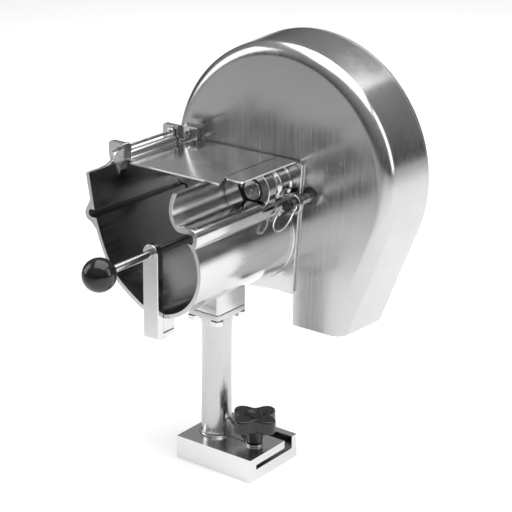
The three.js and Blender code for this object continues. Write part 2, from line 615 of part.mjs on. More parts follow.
function crankGrip() {
  const { radius, gripFront, gripBack } = CRANK;
  const length = gripBack - gripFront;
  const profile = [
    [0, gripFront], [10, gripFront], [11.6, gripFront + 2], [12.4, gripFront + 0.3 * length],
    [13.6, gripFront + 0.62 * length], [14, gripBack - 9], [13.2, gripBack - 4.4], [11, gripBack - 1.2], [8, gripBack],
    [0, gripBack],
  ];
  const recess = rodY(7, gripBack - 11.4, gripBack + 1, radius, 0, 24);
  return cut(latheY(profile, radius, 0, 24), rodY(4 + GAP, 160, 250, radius, 0, 20), recess);
}

function crankNut() {
  const hex = prismY(arc(0, 0, 10.4, 0, 300, 5), CRANK.back + GAP, 180, 0.8);
  const dome = latheY([[0, 178], [8.4, 178], [8.4, 181], [7, 184.4], [4, 186.4], [0, 187]], 0, 0, 28);
  return cut(join(hex, dome), rodY(6 + GAP, 160, 181.6, 0, 0, 24));
}

add('crank_arm', crankArm(), ...SATIN, 1, crank);
add('crank_nut', crankNut(), ...STEEL, 1, crank);
add('grip_axle', gripAxle(), ...STEEL, 1, crank);
add('crank_grip', crankGrip(), ...WHITE, crank);

// ---------------------------------------------------------------- blade housing
// Outline of the housing: round top, straight right side down to the chute, open along the bottom.
function coverOutline(radius, drop) {
  const { x, z } = COVER;
  const foot = v2(79 - (COVER.backRadius - radius) - 0.39 * drop, 130.4 - drop);
  const reach = foot.distanceTo(v2(x, z));
  const down = Math.atan2(foot.y - z, foot.x - x);
  const tangent = THREE.MathUtils.radToDeg(down + Math.acos(radius / reach));
  const endAngle = 180 + THREE.MathUtils.radToDeg(Math.asin((z - 166) / COVER.backRadius));
  const rim = arc(x, z, radius, tangent, endAngle, 40);
  const chute = [v2(12.2 - drop, 165 - drop), v2(11.8 - drop, 130.4 - drop)];
  return [foot, ...rim, v2(rim[rim.length - 1].x, 165 - drop), ...chute];
}

function coverBlank(inset, y0, y1, drop) {
  const { front, back, frontRadius, backRadius, fillet } = COVER;
  const r = fillet - inset;
  const start = front + inset;
  const sections = [];
  const steps = 4;
  const draft = (y) => frontRadius + ((backRadius - frontRadius) * (y - front)) / (back - front);
  for (let i = 0; i <= steps; i += 1) {
    const a = (i / steps) * (Math.PI / 2);
    const y = start + r * (1 - Math.cos(a));
    sections.push({ y, points: coverOutline(draft(y) - inset - r * (1 - Math.sin(a)), drop) });
  }
  sections.push({ y: y1, points: coverOutline(draft(y1) - inset, drop) });
  return loftY(sections);
}

function coverScrewPlaces() {
  const onRim = [15, 75, 135, 195].map((a) => [
    COVER.x + 136.2 * Math.cos(rad(a)), COVER.z + 136.2 * Math.sin(rad(a)),
  ]);
  return [...onRim, [79.8, 146]];
}

function bladeHousing() {
  const { back, wall, front } = COVER;
  const shell = cut(coverBlank(0, front, back, 0), coverBlank(wall, front, back + 5, 8));
  const bosses = coverScrewPlaces().map(([x, z]) => rodY(5.6, 128, back, x, z, 20));
  const trimmed = bosses.map((boss) => overlap(boss, coverBlank(1, front, back, 0)));
  const window = windowPlug(8, front - 5, front + wall + 1);
  const below = boxOf(-200, 12.2, front - 5, back + 5, 100, 166);
  const latchHole = rodY(LATCH.radius + GAP, 70, 100, LATCH.x, LATCH.z, 20);
  const tabHole = rodY(2 + GAP, 70, DISC.bladeFront, TAB.screwX, TAB.screwZ, 8);
  const holes = coverScrewPlaces().map(([x, z]) => rodY(1.8 + GAP, 132, back + 1, x, z, 8));
  return cut(join(shell, ...trimmed), window, below, latchHole, tabHole, ...holes);
}

function rearPlate() {
  const outline = coverOutline(COVER.backRadius, 0);
  const sheet = prismY(outline, REAR.front, REAR.back);
  const hub = latheY([[0, REAR.back - 1], [24, REAR.back - 1], [20, REAR.back + 2], [18, REAR.back + 6.4],
    [0, REAR.back + 6.4]], SHAFT.x, SHAFT.z, 32);
  const below = boxOf(-200, 12.2, REAR.front - 5, REAR.back + 5, 100, 166);
  const holes = coverScrewPlaces().map(([x, z]) => rodY(1.8 + GAP, 140, 160, x, z, 8));
  return cut(join(sheet, hub), below, rodY(11.7 + GAP, 140, 170, SHAFT.x, SHAFT.z, 32), ...holes);
}

function coverScrew(x, z) {
  const head = latheY([[0, REAR.back + GAP], [3.8, REAR.back + GAP], [3.4, REAR.back + 1.6], [1.8, REAR.back + 2.6],
    [0, REAR.back + 2.8]], x, z, 20);
  return join(head, rodY(1.8, 134, REAR.back + 1, x, z, 8));
}

add('blade_housing', bladeHousing(), ...SATIN);
add('rear_plate', rearPlate(), ...SATIN);
add('shaft_rear_bush', ringY(SHAFT.rearRadius + GAP, 11.7, REAR.front, REAR.back + 6.2, SHAFT.x, SHAFT.z), 0x9a8a5c, 0.4);
coverScrewPlaces().forEach(([x, z], i) => {
  add(`cover_screw_${i + 1}`, coverScrew(x, z), ...STEEL);
});

// ---------------------------------------------------------------- cover pin and its pull ring
function coverPin() {
  const { x, z, radius, capFront, tip } = LATCH;
  const body = latheY([[0, capFront + 3], [3, capFront + 3], [3, capFront + 6.4], [radius, capFront + 6.4],
    [radius, tip - 2], [radius - 2, tip], [0, tip]], x, z, 28);
  return cut(body, rodX(0.9 + GAP, x - 10, x + 10, 60.4, z, 8));
}

function pinCap() {
  const { x, z, capFront } = LATCH;
  const body = latheY([[0, capFront], [5, capFront], [6.4, capFront + 1.4], [6.4, capFront + 6], [0, capFront + 6]], x, z, 28);
  return cut(body, rodY(3 + GAP, capFront + 2.6, capFront + 8, x, z, 20));
}

// One closed loop of wire through the pin's cross hole, hanging forward and down.
function pullRing() {
  const { x, z } = LATCH;
  const y = 60.4;
  const lean = v3(0, -0.74, -0.67);
  const at = (side, along) => v3(x + side, y, z).addScaledVector(lean, along);
  const half = [[5, 0], [8, 1.2], [8.4, 5], [8, 9], [8.4, 14], [8.6, 20], [7.2, 27], [4, 32]];
  const loop = new THREE.CatmullRomCurve3([
    at(0, 0), ...half.map(([side, along]) => at(side, along)), at(0, 34),
    ...half.reverse().map(([side, along]) => at(-side, along)),
  ], true, 'catmullrom', 0.5);
  return wireLoop(loop, lean.clone().cross(v3(1, 0, 0)).normalize(), 0.9, 52, 6);
}

// Round wire bent into a closed flat loop. The normal is the direction square to the loop's plane.
function wireLoop(loop, normal, radius, steps, sides) {
  const positions = [];
  const index = [];
  for (let i = 0; i < steps; i += 1) {
    const centre = loop.getPoint(i / steps);
    const outward = loop.getTangent(i / steps).cross(normal).normalize();
    for (let k = 0; k < sides; k += 1) {
      const a = (k / sides) * 2 * Math.PI;
      const p = centre.clone()
        .addScaledVector(outward, radius * Math.cos(a))
        .addScaledVector(normal, radius * Math.sin(a));
      positions.push(p.x, p.y, p.z);
      const here = i * sides;
      const next = ((i + 1) % steps) * sides;
      const other = (k + 1) % sides;
      index.push(here + k, here + other, next + other, here + k, next + other, next + k);
    }
  }
  const geometry = new THREE.BufferGeometry();
  geometry.setAttribute('position', new THREE.Float32BufferAttribute(positions, 3));
  geometry.setIndex(index);
  return geometry;
}

add('cover_pin', coverPin(), ...STEEL);
add('pin_cap', pinCap(), ...BLACK);
add('pull_ring', pullRing(), ...STEEL);

export default slicer;
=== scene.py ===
from math import asin, atan2, acos, cos, degrees, hypot, pi, radians, sin

import bmesh
import bpy
from mathutils import Matrix, Vector


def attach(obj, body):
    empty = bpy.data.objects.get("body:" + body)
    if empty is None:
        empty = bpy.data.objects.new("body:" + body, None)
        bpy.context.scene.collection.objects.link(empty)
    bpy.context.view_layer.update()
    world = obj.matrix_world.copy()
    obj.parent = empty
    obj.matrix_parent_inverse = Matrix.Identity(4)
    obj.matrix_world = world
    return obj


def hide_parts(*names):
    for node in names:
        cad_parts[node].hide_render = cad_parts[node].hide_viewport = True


# Hand-cranked rotary slicer: the fine surface and the studio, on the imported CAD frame.
# Lengths below are in millimetres in the CAD frame and are turned into metres when a mesh is made.

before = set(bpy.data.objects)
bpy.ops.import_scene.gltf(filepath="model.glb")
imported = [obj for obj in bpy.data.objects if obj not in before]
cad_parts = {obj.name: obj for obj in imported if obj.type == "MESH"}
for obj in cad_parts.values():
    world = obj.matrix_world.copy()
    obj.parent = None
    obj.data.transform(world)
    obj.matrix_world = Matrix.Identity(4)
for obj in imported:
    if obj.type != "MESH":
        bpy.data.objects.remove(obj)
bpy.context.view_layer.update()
MM = 0.001

# ------------------------------------------------------------------ driving dimensions, as in the CAD
SHAFT_X, SHAFT_Z = -7.0, 293.0
COVER_X, COVER_Z = -12.0, 297.0
COVER_FRONT, COVER_BACK = 82.3, 150.0
COVER_R_FRONT, COVER_R_BACK, COVER_FILLET, COVER_WALL = 141.0, 145.0, 14.0, 3.0
PLATE_FRONT, PLATE_BACK, PAD_BACK = 78.5, 82.0, 87.8
TROUGH_FRONT, TROUGH_BACK, TROUGH_TOP, TROUGH_WALL = -81.5, 78.2, 315.7, 4.5
TROUGH_X, TROUGH_Z, TROUGH_R = -41.0, 234.5, 51.7
BOW_X, BOW_Z, BOW_R, BOW_TOP_X, BOW_TOP_R = -1.5, 296.0, 24.0, 14.5, 40.0
RAIL_LOW, RAIL_HIGH, RAIL_LEFT_LOW, RAIL_LEFT, RAIL_RIGHT, SLOT_R = 266.4, 276.4, 268.1, -132.9, 5.6, 4.0
EAR_LEFT, EAR_RIGHT, EAR_TOP, EAR_FRONT = -143.6, -122.5, 337.5, -36.5
TAB_FRONT, TAB_BACK, SCREW_X, SCREW_Z = 75.0, 82.0, -126.5, 325.5
POST_X, POST_Y, POST_R = -23.5, -5.5, 16.2
HEAD_X, HEAD_Y, HEAD_LOW, HEAD_HIGH = 41.0, 48.0, 165.0, 171.7
KNOB_X, KNOB_Y, KNOB_LOW, KNOB_HIGH, KNOB_TIP = 28.0, -5.7, 46.0, 61.5, 27.4
LID_LOW, LID_HIGH = 316.0, 318.2
PIN_X, PIN_Z = -130.0, 330.5
BAR_X, ROD_Z = -42.6, 249.4
BALL_Y, BALL_R = -167.6, 17.5
LATCH_X, LATCH_Z = 22.5, 276.0
CRANK_R, CRANK_ANGLE = 90.0, 72.6
RAIL_RISE, BOSS_RISE = 5.8, 3.1  # how far the right rail stands above its groove, in front of and beside the boss
GAP, SLACK = 0.3, 0.9            # between castings that meet, and between the pusher and its grooves
BAR_BOLT_Y, COVER_SCREW_R = -72, 136.2
# Radii of the holes
BOLT_HOLE, BAR_BOLT_HOLE, SCREW_HOLE, COVER_SCREW_HOLE = 4.3, 3.3, 2.3, 2.1
PIN_HOLE, LATCH_HOLE, ROD_HOLE, SHAFT_HOLE = 2.05, 5.5, 4.7, 10.8


# ------------------------------------------------------------------ mesh helpers
def new_object(name, verts, faces):
    """A mesh object from points in millimetres, with its faces turned outwards."""
    mesh = bpy.data.meshes.new(name)
    mesh.from_pydata([Vector(v) * MM for v in verts], [], faces)
    bm = bmesh.new()
    bm.from_mesh(mesh)
    bmesh.ops.remove_doubles(bm, verts=bm.verts, dist=1e-7)
    bmesh.ops.recalc_face_normals(bm, faces=bm.faces)
    bm.to_mesh(mesh)
    bm.free()
    obj = bpy.data.objects.new(name, mesh)
    bpy.context.scene.collection.objects.link(obj)
    return obj


def arc(x, y, r, start, end, steps):
    """Points on a circle between two angles in degrees."""
    angles = [radians(start + (end - start) * i / steps) for i in range(steps + 1)]
    return [(x + r * cos(a), y + r * sin(a)) for a in angles]


def round_rect(x0, y0, x1, y1, r, steps=6):
    corners = [(x1 - r, y1 - r, 0), (x0 + r, y1 - r, 90), (x0 + r, y0 + r, 180), (x1 - r, y0 + r, 270)]
    return [p for x, y, a in corners for p in arc(x, y, r, a, a + 90, steps)]


def offset_path(path, distance):
    """Moves an open path to the right of its direction of travel."""
    moved = []
    for i, (x, y) in enumerate(path):
        ax, ay = path[max(i - 1, 0)]
        bx, by = path[min(i + 1, len(path) - 1)]
        first = Vector((x - ax, y - ay)) if i else Vector((bx - x, by - y))
        second = Vector((bx - x, by - y)) if i + 1 < len(path) else first
        first.normalize()
        second.normalize()
        normal = Vector((first.y + second.y, -first.x - second.x)).normalized()
        reach = distance / max(normal.dot(Vector((first.y, -first.x))), 0.4)
        moved.append((x + normal.x * reach, y + normal.y * reach))
    return moved


AXES = {
    "X": lambda u, v, t: (t, u, v),
    "Y": lambda u, v, t: (u, t, v),
    "Z": lambda u, v, t: (u, v, t),
}


def prism(name, outline, axis, low, high):
    """An outline pushed along an axis. The outline is (Y, Z), (X, Z) or (X, Y) for X, Y and Z."""
    place = AXES[axis]
    count = len(outline)
    verts = [place(u, v, low) for u, v in outline] + [place(u, v, high) for u, v in outline]
    faces = [tuple(range(count)), tuple(range(count, 2 * count))]
    faces += [(i, (i + 1) % count, count + (i + 1) % count, count + i) for i in range(count)]
    return new_object(name, verts, faces)


def lathe(name, profile, axis, a, b, sides=64):
    """A turned shape: profile is (radius, distance along the axis), from the axis back to the axis."""
    place = AXES[axis]
    verts, faces, rings = [], [], []
    for r, t in profile:
        if r < 1e-6:
            rings.append([len(verts)])
            verts.append(place(a, b, t))
            continue
        rings.append(list(range(len(verts), len(verts) + sides)))
        angles = [2 * pi * i / sides for i in range(sides)]
        verts += [place(a + r * cos(angle), b + r * sin(angle), t) for angle in angles]
    for low, high in zip(rings, rings[1:]):
        for i in range(sides):
            j = (i + 1) % sides
            quad = [low[i % len(low)], low[j % len(low)], high[j % len(high)], high[i % len(high)]]
            face = tuple(dict.fromkeys(quad))
            if len(face) > 2:
                faces.append(face)
    return new_object(name, verts, faces)


def softened(profile, r, steps=4):
    """The same turned profile with each corner rounded by up to r."""
    out = [profile[0]]
    for i in range(1, len(profile) - 1):
        p = Vector(profile[i])
        a, b = Vector(profile[i - 1]) - p, Vector(profile[i + 1]) - p
        reach = min(r, a.length * 0.45, b.length * 0.45)
        if reach < 1e-4:
            out.append(tuple(p))
            continue
        start, end = p + a.normalized() * reach, p + b.normalized() * reach
        for k in range(steps + 1):
            t = k / steps
            q = start * (1 - t) ** 2 + p * 2 * t * (1 - t) + end * t ** 2
            out.append((q.x, q.y))
    out.append(profile[-1])
    return out


def rod(name, r, axis, low, high, a, b, soft=0.0, sides=48):
    profile = [(0, low), (r, low), (r, high), (0, high)]
    return lathe(name, softened(profile, soft) if soft else profile, axis, a, b, sides)


def block(name, x0, x1, y0, y1, z0, z1, bevel=0.0):
    obj = prism(name, [(x0, y0), (x1, y0), (x1, y1), (x0, y1)], "Z", z0, z1)
    if bevel:
        round_edges(obj, bevel, 3, 30.0)
    return obj


def apply_modifiers(obj):
    depsgraph = bpy.context.evaluated_depsgraph_get()
    mesh = bpy.data.meshes.new_from_object(obj.evaluated_get(depsgraph))
    obj.modifiers.clear()
    old, obj.data = obj.data, mesh
    bpy.data.meshes.remove(old)
    return obj


def round_edges(obj, width, segments=3, angle=30.0):
    bevel = obj.modifiers.new("edges", "BEVEL")
    bevel.width = width * MM
    bevel.segments = segments
    bevel.limit_method = "ANGLE"
    bevel.angle_limit = radians(max(angle, 25.0))
    bevel.use_clamp_overlap = True
    return apply_modifiers(obj)


def boolean(obj, tools, operation):
    for tool in tools:
        step = obj.modifiers.new("cut", "BOOLEAN")
        step.operation = operation
        step.solver = "MANIFOLD"
        step.object = tool
    apply_modifiers(obj)
    for tool in tools:
        bpy.data.objects.remove(tool)
    return obj


def join(obj, *tools):
    return boolean(obj, tools, "UNION")


def cut(obj, *tools):
    return boolean(obj, tools, "DIFFERENCE")


def shade(obj, angle=32.0):
    """Smooth shading that keeps creases, with flat faces holding their own normals."""
    obj.data.shade_smooth()
    obj.data.set_sharp_from_angle(angle=radians(angle))
    weighted = obj.modifiers.new("normals", "WEIGHTED_NORMAL")
    weighted.keep_sharp = True
    weighted.weight = 80
    return obj


def finish_piece(obj, body, slot, material, *nodes, angle=32.0):
    obj.data.materials.clear()
    obj.data.materials.append(material)
    shade(obj, angle)
    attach(obj, body)
    if nodes:
        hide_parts(*nodes)
    return obj


# ------------------------------------------------------------------ materials
class Graph:
    """A short way to write a node material."""

    def __init__(self, name):
        self.material = bpy.data.materials.new(name)
        self.material.use_nodes = True
        self.tree = self.material.node_tree
        self.shader = self.tree.nodes["Principled BSDF"]
        self.place = self.add("ShaderNodeTexCoord").outputs["Object"]

    def add(self, kind, **values):
        node = self.tree.nodes.new(kind)
        for key, value in values.items():
            setattr(node, key, value)
        return node

    def link(self, source, target):
        self.tree.links.new(source, target)

    def stretched(self, scale):
        node = self.add("ShaderNodeMapping")
        node.inputs["Scale"].default_value = scale
        self.link(self.place, node.inputs["Vector"])
        return node.outputs["Vector"]

    def noise(self, vector, scale, detail=3.0, rough=0.5):
        node = self.add("ShaderNodeTexNoise")
        node.inputs["Scale"].default_value = scale
        node.inputs["Detail"].default_value = detail
        node.inputs["Roughness"].default_value = rough
        self.link(vector, node.inputs["Vector"])
        return node.outputs["Fac"]

    def spread(self, value, low, high, start=0.3, end=0.7):
        node = self.add("ShaderNodeMapRange")
        for key, number in zip(("From Min", "From Max", "To Min", "To Max"), (start, end, low, high)):
            node.inputs[key].default_value = number
        self.link(value, node.inputs["Value"])
        return node.outputs["Result"]

    def math(self, operation, a, b):
        node = self.add("ShaderNodeMath", operation=operation)
        for socket, value in zip(node.inputs, (a, b)):
            if isinstance(value, (int, float)):
                socket.default_value = value
            else:
                self.link(value, socket)
        return node.outputs[0]

    def ramp(self, value, stops):
        node = self.add("ShaderNodeValToRGB")
        elements = node.color_ramp.elements
        while len(elements) < len(stops):
            elements.new(0.5)
        for element, (position, color) in zip(elements, stops):
            element.position = position
            element.color = (*color, 1.0)
        self.link(value, node.inputs["Fac"])
        return node.outputs["Color"]

    def bump(self, height, distance, strength=1.0):
        node = self.add("ShaderNodeBump")
        node.inputs["Strength"].default_value = strength
        node.inputs["Distance"].default_value = distance
        self.link(height, node.inputs["Height"])
        return node.outputs["Normal"]

    def edges(self):
        """1 along raised edges, 0 elsewhere."""
        return self.spread(self.add("ShaderNodeNewGeometry").outputs["Pointiness"], 0.0, 1.0, 0.52, 0.6)


def grey(value, warm=0.0):
    return (value * (1 + warm), value, value * (1 - warm))


def polished_metal(name, tone, rough, brush=(1, 1, 60), brush_scale=60.0, brush_depth=0.00002,
                   wave_depth=0.0006, mottle=0.05, warm=0.0):
    """Hand-polished metal: buffing lines, slow waviness, cloudy tone and small scratches."""
    g = Graph(name)
    g.shader.inputs["Metallic"].default_value = 1.0
    lines = g.noise(g.stretched(brush), brush_scale, 4.0, 0.65)
    cloud = g.noise(g.place, 14.0, 4.0, 0.6)
    slow = g.noise(g.place, 7.0, 1.0, 0.4)
    specks = g.noise(g.place, 900.0, 2.0, 0.6)
    tone_mix = g.math("ADD", g.math("MULTIPLY", cloud, 0.6), g.math("MULTIPLY", lines, 0.4))
    color = g.ramp(tone_mix, [(0.3, grey(tone - mottle, warm)), (0.7, grey(tone + mottle * 0.6, warm))])
    g.link(color, g.shader.inputs["Base Color"])
    streaks = g.spread(lines, rough * 0.75, rough * 1.3)
    gloss = g.math("ADD", streaks, g.spread(cloud, -rough * 0.2, rough * 0.25))
    worn = g.math("MULTIPLY", g.edges(), -rough * 0.35)
    g.link(g.math("MAXIMUM", g.math("ADD", gloss, worn), 0.04), g.shader.inputs["Roughness"])
    fine = g.math("ADD", g.math("MULTIPLY", lines, 1.0), g.math("MULTIPLY", specks, 0.25))
    first = g.add("ShaderNodeBump")
    first.inputs["Distance"].default_value = wave_depth
    first.inputs["Strength"].default_value = 1.0
    g.link(slow, first.inputs["Height"])
    second = g.add("ShaderNodeBump")
    second.inputs["Distance"].default_value = brush_depth
    g.link(fine, second.inputs["Height"])
    g.link(first.outputs["Normal"], second.inputs["Normal"])
    g.link(second.outputs["Normal"], g.shader.inputs["Normal"])
    return g.material


def moulded_plastic(name, color, rough, grain=0.00003):
    """Moulded plastic: faint grain, dull and shiny patches, paler worn edges."""
    g = Graph(name)
    fine = g.noise(g.place, 1400.0, 3.0, 0.6)
    cloud = g.noise(g.place, 45.0, 3.0, 0.6)
    worn = g.math("MULTIPLY", g.edges(), 0.5)
    blend = g.math("ADD", g.math("MULTIPLY", cloud, 0.5), worn)
    paler = tuple(min(c * 1.5 + 0.012, 1.0) for c in color)
    g.link(g.ramp(blend, [(0.1, color), (1.0, paler)]), g.shader.inputs["Base Color"])
    g.link(g.spread(cloud, rough * 0.8, rough * 1.35), g.shader.inputs["Roughness"])
    g.link(g.bump(fine, grain), g.shader.inputs["Normal"])
    return g.material


HOUSING = polished_metal("housing_metal", 0.50, 0.2, brush=(70, 70, 1.6), brush_scale=8, warm=0.004)
PLATE = polished_metal("plate_metal", 0.60, 0.17, brush=(2, 40, 40), brush_scale=10, wave_depth=0.0004)
LID = polished_metal("lid_metal", 0.93, 0.16, brush=(2, 60, 2), brush_scale=12, wave_depth=0.0003)
TROUGH = polished_metal("trough_metal", 0.58, 0.15, brush=(30, 2, 30), brush_scale=8, wave_depth=0.0008)
BASE = polished_metal("base_metal", 0.72, 0.22, brush=(2, 2, 70), brush_scale=9, wave_depth=0.0003)
LEG = polished_metal("leg_metal", 0.50, 0.24, brush=(50, 50, 3), brush_scale=8, wave_depth=0.0009)
ARM = polished_metal("arm_metal", 0.66, 0.34, brush=(20, 20, 20), brush_scale=30, brush_depth=0.00005)
STEEL = polished_metal("steel", 0.62, 0.2, brush=(8, 90, 8), brush_scale=12, wave_depth=0.0001)
DISC = polished_metal("disc_steel", 0.66, 0.24, brush=(30, 30, 30), brush_scale=20, wave_depth=0.0002)
BLADE = polished_metal("blade_steel", 0.75, 0.12, brush=(60, 60, 6), brush_scale=14, wave_depth=0.0001)
BRONZE = polished_metal("bronze", 0.42, 0.35, warm=0.28, brush=(10, 60, 10), brush_scale=20)
BLACK_GLOSS = moulded_plastic("ball_black", (0.006, 0.006, 0.007), 0.08, 0.000004)
BLACK_SATIN = moulded_plastic("knob_black", (0.012, 0.012, 0.013), 0.26)
BLACK_BUSH = moulded_plastic("bush_black", (0.016, 0.015, 0.014), 0.45)
WHITE_GRIP = moulded_plastic("grip_white", (0.78, 0.78, 0.76), 0.32)


# ------------------------------------------------------------------ clamp base
def make_base():
    half = 41.5
    section = [
        (-half, 0), (half, 0), (half, 26.5), (32.5, 26.5), (32.5, 12.6), (-31.5, 12.6), (-31.5, 17.8),
        (19, 17.8), (19, 26.5), (-half, 26.5),
    ]
    body = prism("base_block_fine", section, "X", -49.5, 49.5)
    cut(body, rod("t", 4.5, "Z", 4, 40, KNOB_X, KNOB_Y), rod("t", 10.3, "Z", 17, 40, POST_X, POST_Y))
    round_edges(body, 0.8, 3, 40)
    return finish_piece(body, "frame", "base_aluminium", BASE, "base_block")


def make_knob():
    outline = []
    steps = 160
    for i in range(steps):
        a = 2 * pi * i / steps
        lobe = cos(4 * (a + radians(8)))
        r = KNOB_TIP - 4.7 + 5.5 * lobe - 0.8 * lobe * lobe
        outline.append((KNOB_X + r * cos(a), KNOB_Y + r * sin(a)))
    star = prism("clamp_knob_fine", outline, "Z", KNOB_LOW, KNOB_HIGH)
    round_edges(star, 2.6, 6, 50)
    hub = [(0, 29.2), (8.2, 29.2), (10.6, 44), (15, 49), (0, 49)]
    dish = [(0, 58.5), (8.6, 58.5), (12.6, 63), (0, 63)]
    button = [(0, 57), (5.2, 57), (5.2, 59.9), (0, 59.9)]
    join(star, lathe("t", softened(hub, 1.2), "Z", KNOB_X, KNOB_Y))
    cut(star, lathe("t", softened(dish, 1.2), "Z", KNOB_X, KNOB_Y))
    join(star, lathe("t", softened(button, 0.7), "Z", KNOB_X, KNOB_Y))
    cut(star, rod("t", 4.5, "Z", 20, 51, KNOB_X, KNOB_Y))
    return finish_piece(star, "clamp_screw", "satin_black", BLACK_SATIN, "clamp_knob", angle=40)


# ------------------------------------------------------------------ leg
def head_outline():
    """The rectangle shared by the leg's head and the trough's pad."""
    return round_rect(POST_X - HEAD_X / 2, POST_Y - HEAD_Y / 2, POST_X + HEAD_X / 2, POST_Y + HEAD_Y / 2, 3)


def make_leg():
    foot, flare, fillet = 26.8, 2.4, 7
    profile = [(0, 18.1), (10, 18.1), (10, foot), (POST_R + flare, foot)]
    for angle in (a * pi / 16 for a in range(1, 9)):
        profile.append((POST_R + flare - flare * sin(angle), foot + fillet * (1 - cos(angle))))
    profile += [(POST_R, 128), (POST_R + 0.4, 150), (POST_R + 1.2, 160), (POST_R + 3, 165.6), (0, 166)]
    leg = lathe("leg_post_fine", profile, "Z", POST_X, POST_Y, 96)
    head = prism("t", head_outline(), "Z", HEAD_LOW, HEAD_HIGH)
    round_edges(head, 0.9, 3, 40)
    web = prism("t", [(POST_X, foot), (16.5, foot), (16.5, foot + 2), (-5.5, 46), (POST_X, 46)], "Y",
                POST_Y - 3, POST_Y + 3)
    round_edges(web, 0.8, 3, 40)
    join(leg, head, web)
    cut(leg, *[rod("t", BOLT_HOLE, "Z", 160, 180, x, y, sides=24) for x, y in bolt_places()])
    return finish_piece(leg, "frame", "leg_aluminium", LEG, "leg_post")


def bolt_places():
    return [(POST_X + sx * 15.2, POST_Y + sy * 19) for sx, sy in ((-1, -1), (1, -1), (1, 1), (-1, 1))]


def hex_bolt(name, x, y, low, high, across, shank, top, node):
    """A hexagon bolt along Z with a turned, chamfered head."""
    corner = across / 2 / cos(radians(30))
    head = prism(name, arc(x, y, corner, 0, 300, 5), "Z", low, high)
    turned = [(0, low), (across * 0.46, low), (corner + 0.6, low + 1.4), (corner + 0.6, high), (0, high)]
    boolean(head, [lathe("t", turned, "Z", x, y, 48)], "INTERSECT")
    join(head, rod("t", shank, "Z", high - 1, top, x, y, 0.5, 24))
    return finish_piece(head, "frame", "steel", STEEL, node)


# ------------------------------------------------------------------ feed trough
def catmull(points, steps):
    """A smooth curve through the points."""
    out = []
    ext = [points[0], *points, points[-1]]
    for p0, p1, p2, p3 in zip(ext, ext[1:], ext[2:], ext[3:]):
        for k in range(steps):
            t = k / steps
            out.append(tuple(
                0.5 * (2 * b + (c - a) * t + (2 * a - 5 * b + 4 * c - d) * t * t
                       + (3 * b - a - 3 * c + d) * t ** 3)
                for a, b, c, d in zip(p0, p1, p2, p3)))
    out.append(points[-1])
    return out


LEFT_SIDE = [(-124, 272), (-115.7, 248), (-107, 228.3), (-96.5, 212), (-82.3, 199.5), (-63, 187.4)]
INNER = [(-131.7, TROUGH_TOP)] + catmull(LEFT_SIDE, 6)
INNER += arc(TROUGH_X, TROUGH_Z, TROUGH_R, -110, 33, 60) + [(-11, 275)]
INNER += arc(BOW_X, BOW_Z, BOW_R, 228, 182, 20) + arc(BOW_TOP_X, BOW_Z, BOW_TOP_R, 180, 146, 14)


def ribbon(path, near, far):
    """A closed outline between two offsets of a path."""
    return offset_path(path, near) + offset_path(path, far)[::-1]


LEFT_SWELL = catmull(
    [(-131.4, 286), (-135.5, 278.6), (-138.3, 272), (-136, 265.4), (-129.4, 261.4), (-124.2, 256)], 8)
LEFT_SWELL += [(-112, 256), (-112, 286)]


def right_rail(rise, margin=0.0):
    """The soft bulge outside the right wall, round its groove."""
    return round_rect(-19 - margin, 259.5 - margin, RAIL_RIGHT + 4.8 + margin, RAIL_HIGH + rise + margin,
                      9 + margin, 10)


def groove(x0, x1, low):
    return prism("t", round_rect(x0, low, x1, RAIL_HIGH, SLOT_R), "Y", -90, 90)


def ear_block(name, front, back):
    """A hinge ear, with its top rounded over towards the rear."""
    face = [(EAR_RIGHT, 319)] + arc(EAR_RIGHT - 3, EAR_TOP - 3, 3, 0, 90, 8)
    face += arc(EAR_LEFT + 3, EAR_TOP - 3, 3, 90, 180, 8)
    face += catmull([(EAR_LEFT, 323), (-142, 318), (-136.8, 309), (-134.4, 302)], 5)
    face += [(-129.6, 302), (-128.2, 314.6)]
    side = [(front, 290), (back, 290)] + arc(back - 6, EAR_TOP - 6, 6, 0, 90, 12)
    side += [(front + 1, EAR_TOP), (front, EAR_TOP - 1)]
    ear = prism(name, face, "Y", front - 1, back + 1)
    boolean(ear, [prism("t", side, "X", -150, -110)], "INTERSECT")
    return round_edges(ear, 0.8, 3, 50)


